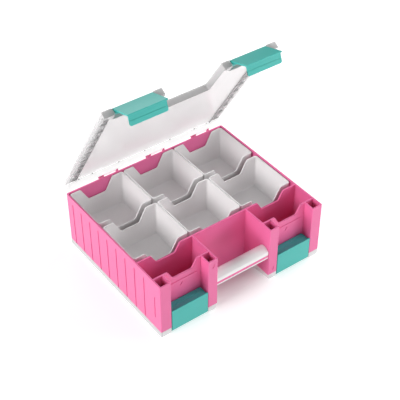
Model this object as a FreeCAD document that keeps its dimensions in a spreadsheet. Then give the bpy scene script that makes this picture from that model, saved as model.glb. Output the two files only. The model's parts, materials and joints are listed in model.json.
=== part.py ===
# A flat organiser case with two working sides: a moulded body with a floor at mid height, a clear
# lid hinged over each side, two snap latches on each lid and six lift-out bins in the upper side.
# Millimetres. x is to the right, y to the back (hinge side), z up. The origin is the centre of the
# footprint, on the surface that the closed lower lid rests on. The upper lid is modelled open.

import FreeCAD, Part
import math
import os
import re

import Sketcher

SIZES = {
    # whole case
    "case_wide": 320, "case_deep": 270, "lid_tall": 12, "body_top": 109.5, "case_top": 121.5,
    "wall_thick": 2.5, "back_round": 3, "front_round": 1.2,
    "floor_under": 38.5, "floor_over": 41.5,
    # front of the case: four hollow towers, the handle well and two latch bays
    "outer_tower": 20, "inner_tower": 18, "tower_wall": 2, "bay_setback": 20,
    "well_half": 52, "well_back": 64,
    "dip_centre": 104.5, "dip_half": 17.5, "dip_slope": 10, "dip_drop": 17, "dip_round": 4.5,
    "catch_half": 27, "catch_proud": 1, "catch_low": 39.3, "catch_high": 42.5,
    # marks moulded into the outside
    "groove_pitch": 25.9, "groove_first": 117, "groove_top": 97.5, "groove_cut": 1.1,
    "groove_run": 4, "bar_low": 34.5, "bar_high": 78, "bar_inset": 15, "bar_wide": 3,
    "oval_half": 2.5, "oval_tall": 9, "oval_inset": 7, "oval_across": 61, "mark_cut": 0.9,
    # carrying handle
    "handle_low": 51.3, "handle_high": 55.6, "handle_inset": 2, "handle_end": 22,
    "grip_shoulder": 62, "grip_back": 65, "grip_top": 68, "grip_chin": 48.5, "grip_under": 46,
    "grip_gap": 0.2,
    # lid hinges
    "hinge_out": 4, "hinge_up": 2.5, "knuckle_big": 3, "pin_thin": 1.25, "turn_gap": 0.05,
    "hinge_pitch": 95.5, "hinge_first": 90.5, "tooth_wide": 3.5, "tooth_gap": 2,
    "single_away": 31, "side_gap": 0.3, "gusset_tall": 12, "lid_angle": 58,
    # lids
    "lid_wall": 2, "panel_thick": 2, "lid_lift": 0.2, "notch_half": 50, "notch_flare": 4,
    "bay_back": 16, "bay_slack": 0.3, "ear_deep": 11, "ear_wide": 9,
    # latches
    "latch_wide": 68.5, "latch_mid": 105, "latch_reach": 40.8, "latch_thick": 2.4,
    "barrel_big": 5, "axis_in": 5.2, "hook_low": 39.8, "hook_high": 37.6, "hook_tip": 13.5,
    "latch_angle": 48, "latch_pin": 1.5, "pin_bite": 5,
    # bins
    "bin_wide": 103.6, "bin_deep": 91, "bin_tall": 66.5, "bin_wall": 2, "bin_floor": 2.2,
    "bin_round": 5, "column_gap": 0.9, "row_gap": 9, "back_gap": 1,
    "scoop_half": 17, "scoop_slope": 14, "scoop_drop": 25,
}
GROOVES = 9
HINGE_GROUPS = 3
COLUMNS = {"left": -1, "middle": 0, "right": 1}
SIDES = {"left": -1, "right": 1}

# places that several pieces share, as expressions on the sheet
RIGHT = "(case_wide / 2)"
BACK = "(case_deep / 2)"
FRONT = "(0 - case_deep / 2)"
BAY = "(bay_setback - case_deep / 2)"
WELL = "(well_back - case_deep / 2)"
HINGE_Y = "(case_deep / 2 + hinge_out)"
UPPER_Z = "(body_top + hinge_up)"
LOWER_Z = "(lid_tall - hinge_up)"
INNER = "(well_half + inner_tower)"
OUTER = "(case_wide / 2 - outer_tower)"

doc = FreeCAD.newDocument("organiser_case")
sheet = doc.addObject("Spreadsheet::Sheet", "sizes")
for row, (alias, value) in enumerate(SIZES.items(), start=1):
    sheet.set("A%d" % row, alias)
    sheet.set("B%d" % row, str(value))
    sheet.setAlias("B%d" % row, alias)
doc.recompute()
pieces = []


# ---- small tools ----

def bound(text):
    return re.sub(r"[a-z]+_[a-z]+", lambda found: "sizes." + found.group(0), str(text))


def bind(thing, field, text):
    thing.setExpression(field, bound(text))


def minus(text):
    return "(0 - (%s))" % text


def signed(sign, text):
    return minus(text) if sign < 0 else "(%s)" % text


def spread(sign, low, high):
    """Two expressions on the side that the sign names, lower one first."""
    return (minus(high), minus(low)) if sign < 0 else (low, high)


def draw(sketch, corners):
    """A closed outline. It starts as a regular polygon and the constraints move it into place."""
    count = len(corners)
    turns = [2 * math.pi * number / count for number in range(count)]
    points = [FreeCAD.Vector(9 * math.cos(turn), 9 * math.sin(turn), 0) for turn in turns]
    lines = [
        sketch.addGeometry(Part.LineSegment(start, end))
        for start, end in zip(points, points[1:] + points[:1])
    ]
    for line, following in zip(lines, lines[1:] + lines[:1]):
        sketch.addConstraint(Sketcher.Constraint("Coincident", line, 2, following, 1))
    for line, point, corner in zip(lines, points, corners):
        for kind, start, text in zip(("DistanceX", "DistanceY"), point, corner):
            index = sketch.addConstraint(Sketcher.Constraint(kind, line, 1, start))
            bind(sketch, "Constraints[%d]" % index, text)


def prism(name, role, outlines, low, high):
    """A PartDesign body: outlines on an origin plane, padded from low to high along its axis."""
    body = doc.addObject("PartDesign::Body", name)
    sketch = body.newObject("Sketcher::SketchObject", name + "_sketch")
    plane = next(item for item in body.Origin.OriginFeatures if item.Role == role)
    sketch.AttachmentSupport = (plane, "")
    sketch.MapMode = "FlatFace"
    bind(sketch, "AttachmentOffset.Base.z", minus(high) if role == "XZ_Plane" else low)
    for corners in outlines:
        draw(sketch, corners)
    pad = body.newObject("PartDesign::Pad", name + "_pad")
    pad.Profile = sketch
    bind(pad, "Length", "(%s) - (%s)" % (high, low))
    return body


def rounded(body, radius, along, wanted=lambda middle: True):
    """Rounds the straight edges that run along an axis and whose middle is wanted."""
    doc.recompute()
    base = body.Tip
    names = []
    for number, edge in enumerate(base.Shape.Edges, start=1):
        way = edge.tangentAt(edge.FirstParameter)
        if abs(way.dot(along)) > 0.999 and wanted(edge.CenterOfMass):
            names.append("Edge%d" % number)
    fillet = body.newObject("PartDesign::Fillet", "%s_round%d" % (body.Name, len(body.Group)))
    fillet.Base = (base, names)
    bind(fillet, "Radius", radius)
    body.Tip = fillet
    return body


ALONG_X = FreeCAD.Vector(1, 0, 0)
ALONG_Y = FreeCAD.Vector(0, 1, 0)
ALONG_Z = FreeCAD.Vector(0, 0, 1)


def oblong(u_low, u_high, v_low, v_high):
    return [(u_low, v_low), (u_high, v_low), (u_high, v_high), (u_low, v_high)]


def block(name, across, deep, tall):
    """A box between three pairs of expressions."""
    box = doc.addObject("Part::Box", name)
    spans = {"x": ("Length", across), "y": ("Width", deep), "z": ("Height", tall)}
    for axis, (side, (low, high)) in spans.items():
        bind(box, side, "(%s) - (%s)" % (high, low))
        bind(box, "Placement.Base." + axis, low)
    return box


def rod(name, radius, across, y="0", z="0"):
    """A cylinder that lies along x."""
    bar = doc.addObject("Part::Cylinder", name)
    bar.Placement.Rotation = FreeCAD.Rotation(ALONG_Y, 90)
    bind(bar, "Radius", radius)
    bind(bar, "Height", "(%s) - (%s)" % (across[1], across[0]))
    for axis, text in zip("xyz", (across[0], y, z)):
        bind(bar, "Placement.Base." + axis, text)
    return bar


def joined(name, solids):
    fuse = doc.addObject("Part::MultiFuse", name)
    fuse.Shapes = solids
    fuse.Refine = True
    return fuse


def less(name, solid, tools):
    cut = doc.addObject("Part::Cut", name)
    cut.Base = solid
    cut.Tool = tools[0] if len(tools) == 1 else joined(name + "_tools", tools)
    cut.Refine = True
    return cut


def keep(name, solid, x="0", y="0", z="0", tilt="0", flipped=False):
    """Names a piece and puts its own origin at x, y, z, tilted about x or flipped over about y."""
    solid.Label = name
    turn = FreeCAD.Rotation(ALONG_Y, 180) if flipped else FreeCAD.Rotation(ALONG_X, 1)
    solid.Placement = FreeCAD.Placement(FreeCAD.Vector(), turn)
    if not flipped:
        bind(solid, "Placement.Rotation.Angle", tilt)
    for axis, text in zip("xyz", (x, y, z)):
        bind(solid, "Placement.Base." + axis, text)
    pieces.append(solid)


# ---- the case body ----

def both_halves(half):
    """A plan's right half, from the middle outwards, made whole by its mirror image."""
    mirrored = [(minus(across), deep) for across, deep in reversed(half)]
    return mirrored + half


def shell():
    half = [
        ("well_half", WELL), ("well_half", FRONT), (INNER, FRONT), (INNER, BAY), (OUTER, BAY),
        (OUTER, FRONT), (RIGHT, FRONT), (RIGHT, BACK),
    ]
    body = prism("shell", "XY_Plane", [both_halves(half)], "lid_tall", "body_top")
    rounded(body, "back_round", ALONG_Z, lambda middle: middle.y > 0)
    reach = SIZES["case_deep"] / 2 - 1
    return rounded(body, "front_round", ALONG_Z, lambda middle: middle.y < -reach)


def hollows(name, low, high):
    """The spaces on one side of the middle floor: the wide one, and the front ones at each side."""
    side = RIGHT + " - wall_thick"
    wide = oblong(minus(side), side, WELL + " + wall_thick", BACK + " - wall_thick")
    space = prism(name + "_wide", "XY_Plane", [wide], low, high)
    rounded(space, "back_round - wall_thick", ALONG_Z)
    small = []
    for sign in SIDES.values():
        front = FRONT + " + tower_wall"
        compartment = spread(sign, "well_half + wall_thick", side)
        small.append(oblong(*compartment, BAY + " + wall_thick", WELL))
        small.append(oblong(*spread(sign, "well_half + tower_wall", INNER + " - tower_wall"),
                            front, BAY))
        small.append(oblong(*spread(sign, OUTER + " + tower_wall", side), front, BAY))
    return [space, prism(name + "_small", "XY_Plane", small, low, high)]


def dips():
    """Finger dips in the two walls of each front compartment, with rounded corners."""
    outlines = []
    for sign in SIDES.values():
        middle = signed(sign, "dip_centre")
        half = [
            ("dip_half", "body_top - dip_drop"), ("dip_half + dip_slope", "body_top"),
            ("dip_half + dip_slope + 2 * dip_round", "body_top"),
            ("dip_half + dip_slope + 2 * dip_round", "body_top + 1"),
        ]
        left = [("%s - (%s)" % (middle, across), up) for across, up in reversed(half)]
        outlines.append(left + [("%s + %s" % (middle, across), up) for across, up in half])
    back = WELL + " + wall_thick + 1"
    body = prism("dips", "XZ_Plane", outlines, BAY + " - 1", back)
    reach = SIZES["dip_half"] + SIZES["dip_slope"] + 1
    return [rounded(body, "dip_round", ALONG_Y,
                    lambda middle: abs(abs(middle.x) - SIZES["dip_centre"]) < reach)]


def grooves():
    """Shallow one-sided grooves that divide each side wall into upright panels."""
    outlines = []
    for sign in SIDES.values():
        outside = signed(sign, RIGHT + " + 1")
        for number in range(GROOVES):
            start = "groove_first - %d * groove_pitch" % number
            outlines.append([
                (outside, start), (signed(sign, RIGHT + " - groove_cut"), start),
                (signed(sign, RIGHT), start + " - groove_run"),
                (outside, start + " - groove_run"),
            ])
    return [prism("grooves", "XY_Plane", outlines, "lid_tall - 1", "groove_top")]


def marks():
    """An upright bar near the front of each side, and an upright oval on each inner tower."""
    cuts = []
    middle = FRONT + " + bar_inset"
    bar = oblong(middle + " - bar_wide / 2", middle + " + bar_wide / 2", "bar_low", "bar_high")
    ovals = {-1: "body_top - oval_inset - oval_tall", 1: "lid_tall + oval_inset"}
    for side, sign in SIDES.items():
        depth = spread(sign, RIGHT + " - mark_cut", RIGHT + " + 1")
        cut = prism("bar_" + side, "YZ_Plane", [bar], *depth)
        cuts.append(rounded(cut, "bar_wide / 2 - 0.05", ALONG_X))
        across = spread(sign, "oval_across - oval_half", "oval_across + oval_half")
        outline = oblong(*across, ovals[sign], ovals[sign] + " + oval_tall")
        cut = prism("oval_" + side, "XZ_Plane", [outline], FRONT + " - 1", FRONT + " + mark_cut")
        cuts.append(rounded(cut, "oval_half - 0.05", ALONG_Y))
    return cuts


def hinge_groups():
    """Along x, for each group of the upper hinge: the body's three teeth and the lid's knuckle."""
    groups = []
    for number in range(HINGE_GROUPS):
        middle = "%d * hinge_pitch - hinge_first" % number
        beside = middle + " + tooth_gap / 2"
        single = middle + " + single_away - tooth_wide / 2"
        teeth = [
            (middle + " - tooth_gap / 2 - tooth_wide", middle + " - tooth_gap / 2"),
            (beside, beside + " + tooth_wide"), (single, single + " + tooth_wide"),
        ]
        groups.append((teeth, (beside + " + tooth_wide + side_gap", single + " - side_gap")))
    return groups


def teeth(name, level, toward, sign):
    """Hinge teeth on the back wall: round knuckles, each with a gusset that runs along the wall."""
    solids = []
    foot = "%s + %d * gusset_tall" % (level, toward)
    rim = "%s + %d * hinge_up" % (level, toward)
    gusset = [
        (BACK + " - 1", foot), (BACK, foot),
        (HINGE_Y + " + knuckle_big * 0.866", "%s + %d * knuckle_big / 2" % (level, toward)),
        (HINGE_Y, level), (BACK, rim), (BACK + " - 1", rim),
    ]
    for number, (group, _) in enumerate(hinge_groups()):
        for place, span in enumerate(group):
            across = spread(sign, *span)
            tag = "%s_tooth_%d_%d" % (name, number, place)
            solids.append(prism(tag + "_gusset", "YZ_Plane", [gusset], *across))
            solids.append(rod(tag, "knuckle_big", across, HINGE_Y, level))
    return solids


def catches():
    """The ledges in the latch bays that the latch hooks snap over."""
    solids = []
    levels = {
        "lower": ("catch_low", "catch_high"),
        "upper": ("case_top - catch_high", "case_top - catch_low"),
    }
    deep = (BAY + " - catch_proud", BAY + " + 1")
    for side, sign in SIDES.items():
        across = spread(sign, "latch_mid - catch_half", "latch_mid + catch_half")
        for level, tall in levels.items():
            solids.append(block("catch_%s_%s" % (level, side), across, deep, tall))
    return solids


def ribs():
    """Two fixed ribs that divide the shallow lower side into three troughs."""
    solids = []
    middle = "(bin_wide + column_gap) / 2"
    deep = (WELL + " + 1", BACK + " - 1")
    for side, sign in SIDES.items():
        across = spread(sign, middle + " - tower_wall / 2", middle + " + tower_wall / 2")
        solids.append(block("rib_" + side, across, deep, ("lid_tall", "floor_under + 1")))
    return solids


def case_body():
    handle = block(
        "crossbar", ("0 - well_half - 1", "well_half + 1"),
        (FRONT + " + handle_inset", FRONT + " + handle_end"), ("handle_low", "handle_high"))
    solids = [shell(), handle] + catches()
    solids += teeth("upper", UPPER_Z, -1, 1) + teeth("lower", LOWER_Z, 1, -1)
    cuts = hollows("upper_hollow", "floor_over", "body_top + 1")
    cuts += hollows("lower_hollow", "lid_tall - 1", "floor_under")
    cuts += dips() + grooves() + marks()
    for level, height in (("upper", UPPER_Z), ("lower", LOWER_Z)):
        cuts.append(rod("pin_hole_" + level, "pin_thin", (minus(RIGHT), RIGHT), HINGE_Y, height))
    hollow = less("body_hollow", joined("body_solid", solids), cuts)
    share_out(joined("body_ribbed", [hollow] + ribs()))


def share_out(moulding):
    """The body is one moulding, kept as four simpler pieces that meet face to face: the deep rear
    part, the front block at each side of the handle well, and the bar that crosses the well."""
    far = RIGHT + " + 10"
    tall = ("0", "case_top")
    front = (FRONT + " - 5", WELL)
    well = (minus("well_half"), "well_half")
    boxes = {
        "case_body": ((minus(far), far), (WELL, BACK + " + 20")),
        "case_front_left": (spread(-1, "well_half", far), front),
        "case_front_right": (spread(1, "well_half", far), front),
        "handle_bar": (well, front),
    }
    for name, (across, deep) in boxes.items():
        piece = doc.addObject("Part::Common", name)
        piece.Base = moulding
        piece.Tool = block(name + "_share", across, deep, tall)
        piece.Refine = True
        keep(name, piece)


# ---- handle grips ----

def grips():
    front = FRONT + " + handle_inset"
    back = FRONT + " + handle_end"
    across = ("grip_gap - well_half", "well_half - grip_gap")
    upper = [
        (front, "handle_high"), (back, "handle_high"), (back, "grip_back"),
        (back + " - 4", "grip_top"), (front + " + 8", "grip_top"),
        (front + " + 3", "grip_back"), (front, "grip_shoulder"),
    ]
    lower = [
        (front, "handle_low"), (front, "grip_chin"), (front + " + 4", "grip_under"),
        (back + " - 4", "grip_under"), (back, "grip_chin"), (back, "handle_low"),
    ]
    keep("handle_grip_upper", prism("grip_upper", "YZ_Plane", [upper], *across))
    keep("handle_grip_lower", prism("grip_lower", "YZ_Plane", [lower], *across))


# ---- lids: made closed, each with its own origin on its hinge axis ----

def from_hinge(text):
    return "%s - %s" % (text, HINGE_Y)


def lid_outline(wall):
    """Plan of a lid, moved in by a wall's thickness. The handle well and latch bays stay open."""
    well = from_hinge(WELL + " + " + wall)
    edge = from_hinge(FRONT + " + " + wall)
    bay = from_hinge(FRONT + " + bay_back + " + wall)
    inner = INNER + " - bay_slack - " + wall
    outer = OUTER + " + bay_slack + " + wall
    side = RIGHT + " - " + wall
    half = [
        ("notch_half + " + wall, well), ("notch_half + notch_flare + " + wall, edge),
        (inner, edge), (inner, bay), (outer, bay), (outer, edge), (side, edge),
        (side, from_hinge(BACK + " - " + wall)),
    ]
    return both_halves(half)


def lid(name, **where):
    low = "lid_lift - hinge_up"
    top = "lid_tall - hinge_up"
    tray = prism(name + "_tray", "XY_Plane", [lid_outline("0")], low, top)
    rear = SIZES["hinge_out"] + 1
    rounded(tray, "back_round", ALONG_Z, lambda middle: middle.y > -rear)
    under = top + " - panel_thick"
    hollow = prism(name + "_hollow", "XY_Plane", [lid_outline("lid_wall")], low + " - 1", under)
    solids = [less(name + "_shell", tray, [hollow])]
    deep = (from_hinge(FRONT), from_hinge(FRONT + " + ear_deep"))
    ears = {
        "inner": (INNER + " - bay_slack - ear_wide", INNER + " - bay_slack"),
        "outer": (OUTER + " + bay_slack", OUTER + " + bay_slack + ear_wide"),
    }
    for side, sign in SIDES.items():
        for ear, span in ears.items():
            tag = "%s_%s_ear_%s" % (name, ear, side)
            solids.append(block(tag, spread(sign, *span), deep, (low, top)))
    bores = [rod(name + "_latch_bore", "latch_pin", (minus(RIGHT), RIGHT),
                 from_hinge(FRONT + " + axis_in"), top + " - axis_in")]
    for number, (_, knuckle) in enumerate(hinge_groups()):
        tag = "%s_knuckle_%d" % (name, number)
        solids.append(rod(tag, "knuckle_big", knuckle))
        solids.append(block(tag + "_arm", knuckle, ("0 - hinge_out - 0.5", "0"), (low, "hinge_up")))
        bores.append(rod(tag + "_bore", "pin_thin + turn_gap", knuckle))
    keep(name, less(name + "_bored", joined(name + "_solid", solids), bores), **where)


# ---- latches: made hanging down from a pin at their own origin ----

def latch(name, **where):
    half = "latch_wide / 2"
    face = "0 - axis_in"
    skin = "latch_thick - axis_in"
    profile = [
        (face, "0"), (face, "0 - latch_reach"), (skin, "0 - latch_reach"),
        (skin, "0 - hook_low"), ("hook_tip", "0 - hook_low"), ("hook_tip", "0 - hook_high"),
        (skin, "0 - hook_high"), (skin, "0"),
    ]
    across = (minus(half), half)
    plate = prism(name + "_plate", "YZ_Plane", [profile], *across)
    barrel = rod(name + "_barrel", "barrel_big", across)
    bore = rod(name + "_bore", "latch_pin + turn_gap", across)
    solid = joined(name + "_solid", [plate, barrel])
    keep(name, less(name + "_bored", solid, [bore]), **where)


def pins():
    """Hinge pins held by the body's teeth, and latch pins held by the lids' ears."""
    for side, (group, _) in zip(COLUMNS, hinge_groups()):
        across = (group[0][0], group[2][1])
        keep_rod("hinge_pin_upper_" + side, "pin_thin", across, HINGE_Y, UPPER_Z)
    for side, (group, _) in zip(COLUMNS, reversed(hinge_groups())):
        across = spread(-1, group[0][0], group[2][1])
        keep_rod("hinge_pin_lower_" + side, "pin_thin", across, HINGE_Y, LOWER_Z)
    span = (INNER + " - pin_bite", OUTER + " + pin_bite")
    for side, sign in SIDES.items():
        across = spread(sign, *span)
        keep_rod("latch_pin_upper_" + side, "latch_pin", across, OPEN_Y, OPEN_Z)
        keep_rod("latch_pin_lower_" + side, "latch_pin", across, FRONT + " + axis_in", "axis_in")


def keep_rod(name, radius, across, y, z):
    bar = rod(name, radius, across, y, z)
    bar.Label = name
    pieces.append(bar)


# ---- bins ----

def bin_box(name, x, y):
    """An open bin with rounded upright corners and a scoop in its front and back walls."""
    half = "bin_wide / 2"
    deep = "bin_deep / 2"
    plan = oblong(minus(half), half, minus(deep), deep)
    outside = prism(name + "_outside", "XY_Plane", [plan], "0", "bin_tall")
    rounded(outside, "bin_round", ALONG_Z)
    inner = half + " - bin_wall"
    inner_deep = deep + " - bin_wall"
    plan = oblong(minus(inner), inner, minus(inner_deep), inner_deep)
    inside = prism(name + "_inside", "XY_Plane", [plan], "bin_floor", "bin_tall + 1")
    rounded(inside, "bin_round - bin_wall", ALONG_Z)
    scoop = [
        ("0 - scoop_half", "bin_tall - scoop_drop"), ("scoop_half", "bin_tall - scoop_drop"),
        ("scoop_half + 2 * scoop_slope", "bin_tall + scoop_drop"),
        ("0 - scoop_half - 2 * scoop_slope", "bin_tall + scoop_drop"),
    ]
    reach = deep + " + 1"
    through = prism(name + "_scoop", "XZ_Plane", [scoop], minus(reach), reach)
    keep(name, less(name + "_open", outside, [inside, through]), x, y, "floor_over")


def bins():
    back = BACK + " - wall_thick - back_gap - bin_deep / 2"
    rows = {"back": back, "front": back + " - bin_deep - row_gap"}
    for row, y in rows.items():
        for column, sign in COLUMNS.items():
            x = "%d * (bin_wide + column_gap)" % sign
            bin_box("bin_%s_%s" % (row, column), x, y)


# ---- the whole case ----

# the latch axis of the open upper lid, carried round with the lid
ARM_Y = "(%s)" % from_hinge(FRONT + " + axis_in")
ARM_Z = "(lid_tall - hinge_up - axis_in)"
COS = "cos(lid_angle * 1 deg)"
SIN = "sin(lid_angle * 1 deg)"
OPEN_Y = "(%s + %s * %s + %s * %s)" % (HINGE_Y, ARM_Y, COS, ARM_Z, SIN)
OPEN_Z = "(%s - %s * %s + %s * %s)" % (UPPER_Z, ARM_Y, SIN, ARM_Z, COS)

case_body()
grips()
lid("lid_upper", y=HINGE_Y, z=UPPER_Z, tilt="0 - lid_angle")
lid("lid_lower", y=HINGE_Y, z=LOWER_Z, flipped=True)
for side, sign in SIDES.items():
    middle = signed(sign, "latch_mid")
    latch("latch_upper_" + side, x=middle, y=OPEN_Y, z=OPEN_Z, tilt="0 - lid_angle - latch_angle")
    latch("latch_lower_" + side, x=middle, y=FRONT + " + axis_in", z="axis_in", flipped=True)
pins()
bins()
doc.recompute()

for thing in doc.Objects:
    if "Invalid" in thing.State or "Error" in thing.State:
        raise RuntimeError("%s did not compute" % thing.Name)
for piece in pieces:
    if piece.Shape.isNull() or not piece.Shape.isValid() or len(piece.Shape.Solids) != 1:
        raise RuntimeError("%s is not one good solid" % piece.Label)

os.makedirs("parts", exist_ok=True)
for piece in pieces:
    piece.Shape.exportStep("parts/%s.step" % piece.Label)
print(len(pieces), "pieces written")
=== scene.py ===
import json
import math

import bmesh
import bpy
from mathutils import Matrix, Vector


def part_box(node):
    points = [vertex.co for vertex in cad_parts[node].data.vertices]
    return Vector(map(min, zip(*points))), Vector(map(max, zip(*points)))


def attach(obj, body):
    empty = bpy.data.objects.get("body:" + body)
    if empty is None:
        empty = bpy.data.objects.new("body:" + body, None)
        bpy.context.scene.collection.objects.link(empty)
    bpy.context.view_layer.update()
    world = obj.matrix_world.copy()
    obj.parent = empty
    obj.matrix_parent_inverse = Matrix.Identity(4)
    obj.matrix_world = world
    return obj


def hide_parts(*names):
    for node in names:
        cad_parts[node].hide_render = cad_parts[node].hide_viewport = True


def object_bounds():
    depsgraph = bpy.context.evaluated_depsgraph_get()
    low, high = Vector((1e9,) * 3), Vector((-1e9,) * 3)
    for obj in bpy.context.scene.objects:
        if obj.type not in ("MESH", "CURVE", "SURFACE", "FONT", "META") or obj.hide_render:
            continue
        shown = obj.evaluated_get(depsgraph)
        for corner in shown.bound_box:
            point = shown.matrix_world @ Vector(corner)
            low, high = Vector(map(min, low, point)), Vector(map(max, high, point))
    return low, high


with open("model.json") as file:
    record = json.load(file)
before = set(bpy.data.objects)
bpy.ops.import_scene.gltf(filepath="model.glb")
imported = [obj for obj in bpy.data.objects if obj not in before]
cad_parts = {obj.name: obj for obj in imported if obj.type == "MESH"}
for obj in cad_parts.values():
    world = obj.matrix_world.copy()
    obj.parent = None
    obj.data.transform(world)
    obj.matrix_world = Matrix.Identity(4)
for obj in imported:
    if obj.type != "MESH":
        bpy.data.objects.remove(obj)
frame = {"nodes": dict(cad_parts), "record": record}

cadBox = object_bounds()
nodes = frame["nodes"]
joints = {joint["name"]: joint for joint in frame["record"]["behaviour"]["joints"]}
mm = 0.001
print("frame loaded:", len(nodes), "solids")


# plastics
# every plastic is a slightly uneven moulding: two close tints, a soft sheen and a fine grain

# what a finish has unless it says otherwise
plainLook = {"driftScale": 14, "grainScale": 1500, "grainStrength": 0.12, "gloss": 0.45}
moulding = {"ior": 1.49, "grainDepth": 0.00004, "sheenBelow": 0.05, "sheenAbove": 0.06}


def plastic(name, look):
    look = {**plainLook, **look}
    mat = bpy.data.materials.new(name)
    mat.use_nodes = True
    tree = mat.node_tree
    shader = tree.nodes["Principled BSDF"]
    place = tree.nodes.new("ShaderNodeTexCoord")
    drift = tree.nodes.new("ShaderNodeTexNoise")   # broad change of tint across a moulding
    drift.inputs["Scale"].default_value = look["driftScale"]
    drift.inputs["Detail"].default_value = 3
    tint = tree.nodes.new("ShaderNodeMix")
    tint.data_type = "RGBA"
    tint.inputs[6].default_value = (*look["colour"], 1)
    tint.inputs[7].default_value = (*look["deepColour"], 1)
    grain = tree.nodes.new("ShaderNodeTexNoise")   # spark-eroded surface of the mould
    grain.inputs["Scale"].default_value = look["grainScale"]
    grain.inputs["Detail"].default_value = 2
    sheen = tree.nodes.new("ShaderNodeMapRange")
    sheen.inputs["To Min"].default_value = look["roughness"] - moulding["sheenBelow"]
    sheen.inputs["To Max"].default_value = look["roughness"] + moulding["sheenAbove"]
    bump = tree.nodes.new("ShaderNodeBump")
    bump.inputs["Strength"].default_value = look["grainStrength"]
    bump.inputs["Distance"].default_value = moulding["grainDepth"]
    link = tree.links.new
    link(place.outputs["Object"], drift.inputs["Vector"])
    link(place.outputs["Object"], grain.inputs["Vector"])
    link(drift.outputs["Fac"], tint.inputs[0])
    link(tint.outputs[2], shader.inputs["Base Color"])
    link(drift.outputs["Fac"], sheen.inputs["Value"])
    link(sheen.outputs["Result"], shader.inputs["Roughness"])
    link(grain.outputs["Fac"], bump.inputs["Height"])
    link(bump.outputs["Normal"], shader.inputs["Normal"])
    shader.inputs["IOR"].default_value = moulding["ior"]
    shader.inputs["Specular IOR Level"].default_value = look["gloss"]
    if "alpha" in look:
        shader.inputs["Alpha"].default_value = look["alpha"]
    if "glow" in look:   # painted light: emission that makes a part look lit though it is no lamp; on the floor it whitens the paper
        shader.inputs["Emission Color"].default_value = (*look["colour"], 1)
        shader.inputs["Emission Strength"].default_value = look["glow"]
    return mat


finishes = {
    "bodyPink": {"colour": (0.84, 0.17, 0.385), "deepColour": (0.82, 0.155, 0.36), "roughness": 0.40},
    "latchTeal": {"colour": (0.05, 0.50, 0.45), "deepColour": (0.045, 0.475, 0.425), "roughness": 0.30,
                  "gloss": 0.6},
    "binWhite": {"colour": (0.85, 0.83, 0.832), "deepColour": (0.82, 0.80, 0.807), "roughness": 0.42},
    "gripWhite": {"colour": (0.93, 0.93, 0.93), "deepColour": (0.90, 0.90, 0.90), "roughness": 0.3},
    "lidPanel": {"colour": (0.88, 0.865, 0.87), "deepColour": (0.83, 0.815, 0.82), "roughness": 0.14,
                 "alpha": 0.48, "driftScale": 4, "grainStrength": 0.03},
    "lidSide": {"colour": (0.93, 0.93, 0.93), "deepColour": (0.88, 0.88, 0.885), "roughness": 0.18,
                "alpha": 0.16, "grainStrength": 0.03},
    # painted light: a brighter copy of the clear lid plastic for the back wall and knuckles, which glows
    # to look brightly lit
    "lidBackPaintedGlow": {"colour": (0.95, 0.95, 0.95), "deepColour": (0.92, 0.92, 0.92), "roughness": 0.2,
                "glow": 0.34, "grainStrength": 0.03},
    # painted shade: a darker grey copy of the clear lid plastic for the walls round the notch and bays,
    # and for the border ribs
    "lidFrontPaintedShade": {"colour": (0.62, 0.61, 0.615), "deepColour": (0.56, 0.55, 0.555), "roughness": 0.18,
                 "alpha": 0.85, "grainStrength": 0.03},
    "lidEar": {"colour": (0.86, 0.855, 0.86), "deepColour": (0.80, 0.795, 0.80), "roughness": 0.2,
               "alpha": 0.8, "grainStrength": 0.03},
    "lidLow": {"colour": (0.90, 0.90, 0.90), "deepColour": (0.86, 0.86, 0.865), "roughness": 0.18,
               "alpha": 0.85, "grainStrength": 0.03},
    # painted shade: a darker grey copy of the clear lid plastic for the lower lid's side walls
    "lidSidePaintedShade": {"colour": (0.60, 0.605, 0.61), "deepColour": (0.55, 0.555, 0.56), "roughness": 0.2,
                 "grainStrength": 0.03},
    "pinSteel": {"colour": (0.55, 0.55, 0.56), "deepColour": (0.5, 0.5, 0.51), "roughness": 0.3},
}
paint = {name: plastic(name, look) for name, look in finishes.items()}


def stippled(name, look):
    # clear plastic with a pebbled back, which breaks up what is seen through it
    mat = plastic(name, look)
    tree = mat.node_tree
    shader = tree.nodes["Principled BSDF"]
    place = tree.nodes.new("ShaderNodeTexCoord")
    pebbles = tree.nodes.new("ShaderNodeTexVoronoi")
    pebbles.inputs["Scale"].default_value = look["pebbleScale"]
    drift = tree.nodes.new("ShaderNodeTexNoise")
    drift.inputs["Scale"].default_value = look["patchScale"]
    drift.inputs["Detail"].default_value = 5
    both = tree.nodes.new("ShaderNodeMath")
    both.operation = "MULTIPLY"
    spots = tree.nodes.new("ShaderNodeValToRGB")
    for stop, (position, alpha) in zip(spots.color_ramp.elements, look["spots"]):
        stop.position = position
        stop.color = (alpha, alpha, alpha, 1)
    link = tree.links.new
    link(place.outputs["Object"], pebbles.inputs["Vector"])
    link(place.outputs["Object"], drift.inputs["Vector"])
    link(pebbles.outputs["Distance"], both.inputs[0])
    link(drift.outputs["Fac"], both.inputs[1])
    link(both.outputs["Value"], spots.inputs["Fac"])
    link(spots.outputs["Color"], shader.inputs["Alpha"])
    return mat


paint["lidStipple"] = stippled("lidStipple", {
    "colour": (0.36, 0.355, 0.36), "deepColour": (0.5, 0.495, 0.5), "roughness": 0.25,
    "pebbleScale": 300, "patchScale": 210, "spots": [(0.16, 0.9), (0.32, 0.1)]})
steel = paint["pinSteel"].node_tree.nodes["Principled BSDF"]
steel.inputs["Metallic"].default_value = 1
print("plastics mixed")


# shaping tools

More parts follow.
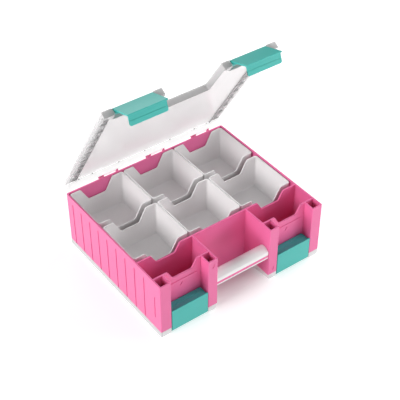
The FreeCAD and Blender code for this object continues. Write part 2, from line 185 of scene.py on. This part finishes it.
def roundOff(corners, steps):
    # corners are (x, y, radius); each is swapped for an arc that touches both of its sides
    out = []
    for number, (x, y, radius) in enumerate(corners):
        here = Vector((x, y))
        before = (Vector(corners[number - 1][:2]) - here).normalized()
        after = (Vector(corners[(number + 1) % len(corners)][:2]) - here).normalized()
        half = before.angle(after) / 2
        if radius < 1e-6 or half > math.pi / 2 - 0.01:
            out.append(here)
            continue
        centre = here + (before + after).normalized() * radius / math.sin(half)
        start = here + before * radius / math.tan(half) - centre
        end = here + after * radius / math.tan(half) - centre
        turn = start.angle_signed(end)
        for step in range(steps + 1):
            part = Matrix.Rotation(-turn * step / steps, 2)
            out.append(centre + part @ start)
    return out


leastRadius = 0.3 * mm   # what a corner keeps when it is moved in


def moveIn(corners, depth):
    # sharp anticlockwise corners (x, y, radius) moved inwards, with radii that keep the wall even
    out = []
    for number, (x, y, radius) in enumerate(corners):
        here = Vector((x, y))
        before = (here - Vector(corners[number - 1][:2])).normalized()
        after = (Vector(corners[(number + 1) % len(corners)][:2]) - here).normalized()
        inward = Vector((-before.y - after.y, before.x + after.x)).normalized()
        lean = inward.dot(Vector((-before.y, before.x)))
        moved = here + inward * depth / lean
        convex = before.x * after.y - before.y * after.x > 0
        radius = max(radius - depth, leastRadius) if convex else radius + depth
        out.append((moved.x, moved.y, radius))
    return out


def skin(bm, rings, closed=True):
    # joins rings of points that have the same count, and closes the first and last ring
    loops = [[bm.verts.new(point) for point in ring] for ring in rings]
    count = len(loops[0])
    for low, high in zip(loops, loops[1:]):
        for number in range(count):
            following = (number + 1) % count
            bm.faces.new((low[number], low[following], high[following], high[number]))
    if closed:
        bm.faces.new(reversed(loops[0]))
        bm.faces.new(loops[-1])
    return loops


def finished(name, bm, mats, body, place=Matrix(), bevel=0.0, limit=40):
    # turns a mesh under construction into a piece that rides on a body
    bmesh.ops.recalc_face_normals(bm, faces=bm.faces)
    mesh = bpy.data.meshes.new(name)
    bm.to_mesh(mesh)
    bm.free()
    mesh.transform(place)
    piece = bpy.data.objects.new(name, mesh)
    bpy.context.collection.objects.link(piece)
    for mat in mats:
        mesh.materials.append(paint[mat])
    for face in mesh.polygons:
        face.use_smooth = True
    if bevel:
        edge = piece.modifiers.new("edges", "BEVEL")
        edge.width = bevel
        edge.segments = 2
        edge.limit_method = "ANGLE"
        edge.angle_limit = math.radians(limit)
        edge.harden_normals = True
    else:
        mesh.set_sharp_from_angle(angle=math.radians(limit))
    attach(piece, body)
    return piece


def alongX(outline, low, high):
    # two rings that stretch a y, z outline along x
    return [[Vector((x, point.x, point.y)) for point in outline] for x in (low, high)]


# case body
# one moulding: the solids that share it are united, then every sharp edge is softened

caseBody = {"solids": ("case_body", "case_front_left", "case_front_right", "handle_bar"),
            "edge": 0.55 * mm, "segments": 2, "sharp": 33,
            "weld": 0.001 * mm, "seam": 0.004 * mm, "flat": 0.6, "flatWeight": 100}


def makeBody():
    c = caseBody
    bm = bmesh.new()
    bm.from_mesh(nodes[c["solids"][0]].data)
    bmesh.ops.remove_doubles(bm, verts=bm.verts, dist=c["weld"])
    piece = finished("caseMoulding", bm, ["bodyPink"], "case")
    for name in c["solids"][1:]:
        unite = piece.modifiers.new("with_" + name, "BOOLEAN")
        unite.operation = "UNION"
        unite.solver = "EXACT"
        unite.object = nodes[name]
    bpy.context.view_layer.update()
    united = piece.evaluated_get(bpy.context.evaluated_depsgraph_get())
    whole = bpy.data.meshes.new_from_object(united)
    piece.modifiers.clear()
    bm = bmesh.new()
    bm.from_mesh(whole)
    bmesh.ops.remove_doubles(bm, verts=bm.verts, dist=c["seam"])
    bmesh.ops.dissolve_degenerate(bm, edges=bm.edges, dist=c["seam"])
    bmesh.ops.dissolve_limit(bm, angle_limit=math.radians(c["flat"]), verts=bm.verts, edges=bm.edges)
    bmesh.ops.recalc_face_normals(bm, faces=bm.faces)
    bm.to_mesh(piece.data)
    bm.free()
    piece.data.materials.clear()
    piece.data.materials.append(paint["bodyPink"])
    for face in piece.data.polygons:
        face.use_smooth = True
        face.material_index = 0
    soften = piece.modifiers.new("edges", "BEVEL")
    soften.width = c["edge"]
    soften.segments = c["segments"]
    soften.limit_method = "ANGLE"
    soften.angle_limit = math.radians(c["sharp"])
    level = piece.modifiers.new("flatWalls", "WEIGHTED_NORMAL")   # big walls shade as planes
    level.weight = c["flatWeight"]
    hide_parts(*c["solids"])


arrowShape = {"half": 4.2 * mm, "tall": 6 * mm, "low": 70 * mm, "wall": -115 * mm, "proud": 0.9 * mm,
              "middle": 105 * mm, "edge": 0.12 * mm}


def makeArrows():
    # a small raised arrowhead over each lower latch points to the upper one
    a = arrowShape
    bm = bmesh.new()
    for sign in (-1, 1):
        middle = sign * a["middle"]
        corners = [(middle - a["half"], a["low"]), (middle + a["half"], a["low"]),
                   (middle, a["low"] + a["tall"])]
        skin(bm, [[Vector((x, y, z)) for x, z in corners]
                  for y in (a["wall"] - a["proud"], a["wall"] + a["proud"])])
    piece = finished("arrowMarks", bm, ["bodyPink"], "case", bevel=a["edge"])


makeBody()
makeArrows()
print("case body softened")


# bins

binShape = {
    "wall": 2.0 * mm, "corner": 5 * mm, "draft": 1.0 * mm, "floor": 2.2 * mm, "footRound": 1.5 * mm,
    "floorRound": 1.6 * mm, "scoopHalf": 17 * mm, "scoopRun": 14 * mm, "scoopDrop": 25 * mm,
    "scoopRound": 4 * mm, "rimRound": 0.55 * mm,
}


def scoopLine(half, top):
    # x and height along a scooped wall, from its right end to its left end
    s = binShape
    shoulder = s["scoopHalf"] + s["scoopRun"]
    low = top - s["scoopDrop"]
    corners = [
        (half, top, 0), (shoulder, top, s["scoopRound"]), (s["scoopHalf"], low, s["scoopRound"]),
        (-s["scoopHalf"], low, s["scoopRound"]), (-shoulder, top, s["scoopRound"]), (-half, top, 0),
    ]
    closed = corners + [(-half, top + 1, 0), (half, top + 1, 0)]
    return roundOff(closed, 4)[:-2]


def binStations(box):
    # where the wall passes, as (outer point, outward direction, top height), anticlockwise
    s = binShape
    low, high = Vector(box[0]), Vector(box[1])
    middle = (low + high) / 2
    half = (high - low) / 2
    straight = half.x - s["corner"]
    line = scoopLine(straight, high.z)
    stations = []

    def corner(signX, signY, start):
        centre = Vector((middle.x + signX * straight, middle.y + signY * (half.y - s["corner"])))
        for step in range(1, 6):
            turn = math.radians(start + 90 * step / 6)
            way = Vector((math.cos(turn), math.sin(turn)))
            stations.append((centre + way * s["corner"], way, high.z))

    for point in reversed(line):   # front wall, left to right
        stations.append((Vector((middle.x + point.x, low.y)), Vector((0, -1)), point.y))
    corner(1, -1, 270)
    for side in (-1, 1):
        y = middle.y + side * (half.y - s["corner"])
        stations.append((Vector((high.x, y)), Vector((1, 0)), high.z))
    corner(1, 1, 0)
    for point in line:
        stations.append((Vector((middle.x + point.x, high.y)), Vector((0, 1)), point.y))
    corner(-1, 1, 90)
    for side in (1, -1):
        y = middle.y + side * (half.y - s["corner"])
        stations.append((Vector((low.x, y)), Vector((-1, 0)), high.z))
    corner(-1, -1, 180)
    return stations


def makeBin(node):
    s = binShape
    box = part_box(node)
    foot = box[0][2]
    tall = box[1][2] - foot
    stations = binStations(box)

    def ring(depth, height=None):
        points = []
        for place, way, top in stations:
            level = top if height is None else foot + height
            lean = s["draft"] * (1 - (level - foot) / tall)
            inner = place - way * (depth + lean)
            points.append(Vector((inner.x, inner.y, level)))
        return points

    rings = []
    for step in range(4):
        turn = math.radians(90 * step / 3)
        rings.append(ring(s["footRound"] * (1 - math.sin(turn)), s["footRound"] * (1 - math.cos(turn))))
    rings.append(ring(0))
    rings.append(ring(s["wall"]))
    for step in range(5):
        turn = math.radians(90 * step / 4)
        rings.append(ring(s["wall"] + s["floorRound"] * (1 - math.cos(turn)),
                          s["floor"] + s["floorRound"] * (1 - math.sin(turn))))
    bm = bmesh.new()
    skin(bm, rings)
    words = node.split("_")
    piece = finished("binOf" + words[1].title() + words[2].title(), bm, ["binWhite"],
                     "%s_%s_bin" % (words[1], words[2]), bevel=s["rimRound"], limit=50)
    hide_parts(node)


for node in nodes:
    if node.startswith("bin_"):
        makeBin(node)
print("bins moulded")


# handle grips

gripShape = {
    "edge": 0.6 * mm,
    # upper half: a tall back, a flat top and a long rounded front
    "backDrop": 3.4 * mm, "backRound": 3 * mm, "crownIn": 5 * mm, "crownRound": 5 * mm,
    "noseIn": 7 * mm, "noseRound": 9 * mm, "lipTall": 6.6 * mm, "lipRound": 4 * mm,
    # lower half: a shallow keel, the same in front as behind
    "sideTall": 2.2 * mm, "sideRound": 2 * mm, "keelIn": 5 * mm, "keelRound": 6 * mm,
}


def makeGrip(node, name, upper):
    g = gripShape
    low, high = Vector(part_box(node)[0]), Vector(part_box(node)[1])
    front, back = low.y, high.y
    if upper:
        profile = [
            (front, low.z, 0), (back, low.z, 0), (back, high.z - g["backDrop"], g["backRound"]),
            (back - g["crownIn"], high.z, g["crownRound"]), (front + g["noseIn"], high.z, g["noseRound"]),
            (front, low.z + g["lipTall"], g["lipRound"]),
        ]
    else:
        profile = [
            (front, high.z, 0), (front, low.z + g["sideTall"], g["sideRound"]),
            (front + g["keelIn"], low.z, g["keelRound"]), (back - g["keelIn"], low.z, g["keelRound"]),
            (back, low.z + g["sideTall"], g["sideRound"]), (back, high.z, 0),
        ]
    bm = bmesh.new()
    skin(bm, alongX(roundOff(profile, 6), low.x, high.x))
    piece = finished(name, bm, ["gripWhite"], "case", bevel=g["edge"], limit=35)
    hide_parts(node)


makeGrip("handle_grip_upper", "gripUpper", True)
makeGrip("handle_grip_lower", "gripLower", False)
print("handle grips moulded")


# lids
# drawn shut, with the hinge axis at the origin, then turned to where the hinge holds them

lidShape = {
    "half": 160 * mm, "front": -274 * mm, "back": -4 * mm, "rim": -2.3 * mm, "top": 9.5 * mm,
    "wall": 2 * mm, "panel": 2 * mm, "topRound": 2.6 * mm, "fillet": 1.2 * mm, "edge": 0.35 * mm,
    "notchBack": -210 * mm, "notchHalf": 50 * mm, "notchFlare": 4 * mm, "notchRound": 4 * mm,
    "wallReach": 8 * mm, "cornerReach": 4 * mm,
    "bayBack": -258 * mm, "bayInner": 69.7 * mm, "bayOuter": 140.3 * mm,
    "backCorner": 3 * mm, "corner": 2 * mm,
    "earWide": 9 * mm, "earDeep": 11 * mm, "earRound": 5 * mm, "earFoot": 1.2 * mm, "earEdge": 0.5 * mm,
    "earFront": 0.1 * mm, "earBelow": 0.1 * mm, "earAbove": 0.3 * mm, "earSide": 0.06 * mm,
    "knuckle": 3 * mm, "knuckleStarts": (-85.7, 9.8, 105.3), "knuckleLong": 24.15 * mm,
    "knuckleBite": 0.4 * mm, "knuckleHeel": 1.8 * mm, "knuckleEdge": 0.4 * mm,
}


def lidOutline():
    s = lidShape
    small = s["corner"]
    half = [
        (s["notchHalf"], s["notchBack"], s["notchRound"]),
        (s["notchHalf"] + s["notchFlare"], s["front"], small),
        (s["bayInner"], s["front"], small), (s["bayInner"], s["bayBack"], small),
        (s["bayOuter"], s["bayBack"], small), (s["bayOuter"], s["front"], small),
        (s["half"], s["front"], small), (s["half"], s["back"], s["backCorner"]),
    ]
    mirrored = [(-x, y, radius) for x, y, radius in reversed(half)]
    return mirrored + half


def makeLid(node, name, place, bodyName, mats):
    # mats are for the panel, the side walls, the walls round the notch and bays, the back wall, the ears;
    # darker grey copies among them carry painted shade, a glowing back wall carries painted light
    s = lidShape
    outline = lidOutline()

    def ring(depth, height):
        return [Vector((point.x, point.y, height)) for point in roundOff(moveIn(outline, depth), 4)]

    under = s["top"] - s["panel"]
    rings = [ring(s["wall"] + s["fillet"], under), ring(s["wall"], under - s["fillet"]),
             ring(s["wall"], s["rim"]), ring(0, s["rim"])]
    for step in range(5):
        turn = math.radians(90 * step / 4)
        rings.append(ring(s["topRound"] * (1 - math.cos(turn)),
                          s["top"] - s["topRound"] * (1 - math.sin(turn))))
    bm = bmesh.new()
    loops = skin(bm, rings, closed=False)
    # picks a plastic for each wall by where it stands; the darker and glowing copies paint shade and
    # light onto those walls
    for face in bm.faces:
        middle = face.calc_center_median()
        inside = s["half"] - abs(middle.x)
        if middle.y < s["notchBack"] + s["wallReach"] and inside > s["cornerReach"]:
            face.material_index = 2
        elif middle.y > s["back"] - s["cornerReach"] and inside > s["backCorner"]:
            face.material_index = 3
        else:
            face.material_index = 1
    bm.faces.new(reversed(loops[0])).material_index = 0
    bm.faces.new(loops[-1]).material_index = 0
    piece = finished(name, bm, mats, bodyName, place, bevel=s["edge"], limit=50)
    for face in piece.data.polygons:   # the two sides of the panel stay dead flat
        face.use_smooth = face.material_index != 0
    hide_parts(node)
    makeEars(name, place, bodyName, mats)
    makeKnuckles(name, place, bodyName, mats)
    makeBorder(name, place, bodyName)


def addBlock(bm, low, high):
    ring = [(low[0], low[1]), (high[0], low[1]), (high[0], high[1]), (low[0], high[1])]
    skin(bm, [[Vector((x, y, z)) for x, y in ring] for z in (low[2], high[2])])


def makeEars(name, place, bodyName, mats):
    # solid blocks beside each latch, rounded over the ends of its pin
    s = lidShape
    near, far = s["front"] + s["earFront"], s["front"] + s["earDeep"]
    low, high = s["rim"] + s["earBelow"], s["top"] - s["earAbove"]
    profile = roundOff([(near, low, s["earFoot"]), (far, low, 0), (far, high, 0),
                        (near, high, s["earRound"])], 6)
    bm = bmesh.new()
    for sign in (-1, 1):
        for start in (s["bayInner"] - s["earWide"], s["bayOuter"] + s["earSide"]):
            ends = sorted((sign * start, sign * (start + s["earWide"] - s["earSide"])))
            skin(bm, alongX(profile, *ends))
    piece = finished(name + "Ears", bm, mats[4:], bodyName, place, bevel=s["earEdge"])


def makeKnuckles(name, place, bodyName, mats):
    # each wraps a pin: round behind it, flat where it meets the lid's back wall
    s = lidShape
    reach = s["knuckle"]
    web = s["back"] - s["knuckleBite"]
    profile = [Vector((reach * math.sin(turn), -reach * math.cos(turn)))
               for turn in [math.pi * step / 12 for step in range(13)]]
    profile += [Vector((web, reach)), Vector((web, s["rim"])), Vector((-s["knuckleHeel"], s["rim"]))]
    bm = bmesh.new()
    for start in s["knuckleStarts"]:
        skin(bm, alongX(profile, start * mm, start * mm + s["knuckleLong"]))
    # the knuckles take the back wall's plastic, whose glow on the upper lid is painted light
    piece = finished(name + "Knuckles", bm, mats[3:4], bodyName, place, bevel=s["knuckleEdge"])


borderShape = {
    "rail": 137 * mm, "wall": 151.5 * mm, "rim": 157.9 * mm, "back": -7 * mm, "front": -256 * mm,
    "under": 7.5 * mm, "gap": 0.05 * mm, "stippleLow": 0.35 * mm, "rimLow": 0.6 * mm,
    "railThick": 1.1 * mm, "railTall": 2.6 * mm, "edge": 0.25 * mm,
    "ribCount": 9, "ribStart": 12 * mm, "pitch": 25.9 * mm, "ribTall": 3 * mm,
    "studs": (-131, -105, -52.5, 0, 52.5, 105, 131), "stud": 1.8 * mm, "studTall": 1.98 * mm,
}


def makeBorder(name, place, bodyName):
    # a stippled strip down each side with a rail and cross ribs, and small studs along the back
    b = borderShape
    under, front, back = b["under"], b["front"], b["back"]
    ribs, strips, rims = bmesh.new(), bmesh.new(), bmesh.new()
    for sign in (-1, 1):
        near, far = sorted((sign * b["rail"], sign * b["wall"]))
        rail = sorted((sign * b["rail"], sign * (b["rail"] + b["railThick"])))
        addBlock(ribs, (rail[0], front, under - b["railTall"]), (rail[1], back, under))
        for number in range(b["ribCount"]):
            y = back - b["ribStart"] - number * b["pitch"]
            addBlock(ribs, (near, y, under - b["ribTall"]), (far, y + b["railThick"], under))
        addBlock(strips, (near, front, under - b["stippleLow"]), (far, back, under - b["gap"]))
        near, far = sorted((sign * b["wall"], sign * b["rim"]))
        addBlock(rims, (near, front, under - b["rimLow"]), (far, back, under - b["gap"]))
    size = b["stud"] / 2
    for x in b["studs"]:
        addBlock(ribs, (x * mm - size, back - b["stud"], under - b["studTall"]),
                 (x * mm + size, back + size, under))
    # the ribs take the darker grey of the lid's front walls: painted shade
    for ending, bm, mat, bevel in (("Ribs", ribs, "lidFrontPaintedShade", b["edge"]),
                                   ("Stipple", strips, "lidStipple", 0),
                                   ("Rims", rims, "lidLow", 0)):
        piece = finished(name + ending, bm, [mat], bodyName, place, bevel=bevel)


upperHinge = joints["lid_upper_hinge"]
lowerHinge = joints["lid_lower_hinge"]
tilt = math.radians(upperHinge["range_deg"][0])
upperPlace = Matrix.Translation(upperHinge["pos_m"]) @ Matrix.Rotation(tilt, 4, "X")
lowerPlace = Matrix.Translation(lowerHinge["pos_m"]) @ Matrix.Rotation(math.pi, 4, "Y")
# upper lid: darker grey front walls are painted shade and the glowing back wall is painted light; lower
# lid: darker grey side walls are painted shade
makeLid("lid_upper", "lidUpper", upperPlace, "upper_lid",
        ["lidPanel", "lidSide", "lidFrontPaintedShade", "lidBackPaintedGlow", "lidEar"])
makeLid("lid_lower", "lidLower", lowerPlace, "lower_lid",
        ["lidPanel", "lidSidePaintedShade", "lidLow", "lidLow", "lidLow"])
print("lids moulded")


# latches
# drawn hanging from the pin at the origin, outer face towards the front

latchShape = {
    "wide": 68.5 * mm, "barrel": 5 * mm, "face": -5.2 * mm, "thick": 2.4 * mm, "reach": -40.8 * mm,
    "hookLow": -39.8 * mm, "hookHigh": -37.6 * mm, "hookTip": 13.4 * mm, "hookInset": 1.5 * mm,
    "hookRound": 3 * mm, "hookStep": 0.7 * mm, "hookBite": 0.4 * mm,
    "lip": 5.8 * mm, "lipStep": 0.3 * mm, "edge": 0.5 * mm,
    "footRound": 0.8 * mm, "footInner": 0.5 * mm, "neck": -4.4 * mm, "neckRound": 1.0 * mm,
    "barrelStart": -110, "barrelTurn": 290,
}


def latchProfile():
    s = latchShape
    inner = s["face"] + s["thick"]
    corners = [(s["face"], s["reach"], s["footRound"]), (inner, s["reach"], s["footInner"]),
               (inner, s["neck"], s["neckRound"])]
    arc = []
    for step in range(15):
        turn = math.radians(s["barrelStart"] + s["barrelTurn"] * step / 14)
        arc.append((s["barrel"] * math.cos(turn), s["barrel"] * math.sin(turn), 0))
    return roundOff(corners + arc + [(s["face"], 0, 0)], 4)


def addHook(bm):
    # the ledge that grips the case: a plate with rounded corners and a thicker lip along its edge
    s = latchShape
    half = s["wide"] / 2 - s["hookInset"]
    ledge = {"from": s["face"] + s["thick"] - s["hookBite"], "low": s["hookLow"] + s["hookStep"],
             "high": s["hookHigh"]}
    lip = {"from": s["lip"], "low": s["hookLow"], "high": s["hookHigh"] - s["lipStep"]}
    for part in (ledge, lip):
        plan = roundOff([(-half, part["from"], 0), (half, part["from"], 0),
                         (half, s["hookTip"], s["hookRound"]), (-half, s["hookTip"], s["hookRound"])], 6)
        skin(bm, [[Vector((point.x, point.y, z)) for point in plan] for z in (part["low"], part["high"])])


def makeLatch(node, name, bodyName, place):
    s = latchShape
    bm = bmesh.new()
    skin(bm, alongX(latchProfile(), -s["wide"] / 2, s["wide"] / 2))
    addHook(bm)
    piece = finished(name, bm, ["latchTeal"], bodyName, place, bevel=s["edge"], limit=45)
    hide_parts(node)


for side in ("left", "right"):
    pivot = joints["upper_latch_%s_pivot" % side]
    swing = math.radians(pivot["range_deg"][0])
    hang = Matrix.Translation(pivot["pos_m"]) @ Matrix.Rotation(tilt + swing, 4, "X")
    makeLatch("latch_upper_" + side, "latchUpper" + side.title(), "upper_latch_" + side, hang)
    pivot = joints["lower_latch_%s_pivot" % side]
    hang = Matrix.Translation(pivot["pos_m"]) @ Matrix.Rotation(math.pi, 4, "Y")
    makeLatch("latch_lower_" + side, "latchLower" + side.title(), "lower_latch_" + side, hang)
print("latches moulded")


# pins

for node, thing in nodes.items():
    if "_pin_" in node:
        thing.data.materials.clear()
        thing.data.materials.append(paint["pinSteel"])
        for face in thing.data.polygons:
            face.use_smooth = False
print("pins finished")


# studio

studio = {
    "paper": {"colour": (0.74, 0.74, 0.74), "deepColour": (0.72, 0.72, 0.725), "roughness": 0.8,
              "grainStrength": 0.02, "gloss": 0.1, "glow": 1},
    "floorReach": 12,
    # the faint glow near the middle paints the shadow under the case; further out the glow keeps the
    # paper evenly white
    "floorGlowAndPaintedShadow": [(0.1, 0.03), (0.15, 0.66), (0.8, 0.66), (3, 1)],   # metres from the middle, strength
    "skyColour": (1.0, 0.99, 0.985), "skyStrength": 0.13,
    "lamps": [
        {"at": (-2.6, -0.1, 1.2), "size": 1.4, "power": 58},
        {"at": (0.4, -2.8, 0.9), "size": 1.4, "power": 6},
        {"at": (1.15, -1.1, 0.6), "size": 0.8, "power": 8},
        {"at": (2.7, 0.4, 1.2), "size": 1.4, "power": 62},
        {"at": (0.6, 2.4, 1.6), "size": 2.0, "power": 22},
        {"at": (0.0, -1.9, 2.2), "size": 1.4, "power": 7},
    ],
    "aim": (0.0, 0.0, 0.1),
}


def makeFloor():
    # white paper with a glow of its own: faint under the case, where it paints a shadow, even around it,
    # full far away
    reach = studio["floorReach"]
    level = cadBox[0][2]
    mesh = bpy.data.meshes.new("floor")
    mesh.from_pydata([(-reach, -reach, level), (reach, -reach, level), (reach, reach, level),
                      (-reach, reach, level)], [], [(0, 1, 2, 3)])
    floor = bpy.data.objects.new("floor", mesh)
    bpy.context.collection.objects.link(floor)
    mat = plastic("floorPaper", studio["paper"])
    tree = mat.node_tree
    place = tree.nodes.new("ShaderNodeTexCoord")
    away = tree.nodes.new("ShaderNodeVectorMath")
    away.operation = "LENGTH"
    share = tree.nodes.new("ShaderNodeMapRange")
    glowReach = studio["floorGlowAndPaintedShadow"][-1][0]
    share.inputs["From Max"].default_value = glowReach
    ramp = tree.nodes.new("ShaderNodeValToRGB")
    stops = ramp.color_ramp.elements
    for distance, glow in studio["floorGlowAndPaintedShadow"][1:-1]:
        stops.new(distance / glowReach)
    for stop, (distance, glow) in zip(stops, studio["floorGlowAndPaintedShadow"]):
        stop.position = distance / glowReach
        stop.color = (glow, glow, glow, 1)
    link = tree.links.new
    link(place.outputs["Object"], away.inputs[0])
    link(away.outputs["Value"], share.inputs["Value"])
    link(share.outputs["Result"], ramp.inputs["Fac"])
    link(ramp.outputs["Color"], tree.nodes["Principled BSDF"].inputs["Emission Strength"])
    mesh.materials.append(mat)


def makeLamps():
    for number, lamp in enumerate(studio["lamps"]):
        light = bpy.data.lights.new("softLight%d" % number, "AREA")
        light.shape = "DISK"
        light.size = lamp["size"]
        light.energy = lamp["power"]
        thing = bpy.data.objects.new(light.name, light)
        bpy.context.collection.objects.link(thing)
        away = Vector(lamp["at"]) - Vector(studio["aim"])
        facing = away.to_track_quat("Z", "Y").to_matrix().to_4x4()
        thing.matrix_world = Matrix.Translation(lamp["at"]) @ facing
    world = bpy.data.worlds.new("studio")
    world.use_nodes = True
    sky = world.node_tree.nodes["Background"]
    sky.inputs["Color"].default_value = (*studio["skyColour"], 1)
    sky.inputs["Strength"].default_value = studio["skyStrength"]
    bpy.context.scene.world = world


viewPoint = {"at": (-0.72737, -1.0027, 1.1678), "azimuth": -36.46, "elevation": 40.57, "lens": 89.93,
             "sensor": 36, "nearest": 0.05}


def makeCamera():
    v = viewPoint
    around, above = math.radians(v["azimuth"]), math.radians(v["elevation"])
    away = Vector((math.sin(around) * math.cos(above), -math.cos(around) * math.cos(above),
                   math.sin(above)))
    right = Vector((math.cos(around), math.sin(around), 0))
    turn = Matrix((right, away.cross(right), away)).transposed().to_4x4()
    lens = bpy.data.cameras.new("camera")
    lens.lens = v["lens"]
    lens.sensor_width = v["sensor"]
    lens.clip_start = v["nearest"]
    camera = bpy.data.objects.new("camera", lens)
    bpy.context.collection.objects.link(camera)
    camera.matrix_world = Matrix.Translation(v["at"]) @ turn
    bpy.context.scene.camera = camera


makeFloor()
makeLamps()
makeCamera()
bpy.context.scene.view_settings.view_transform = "Standard"
print("studio lit")
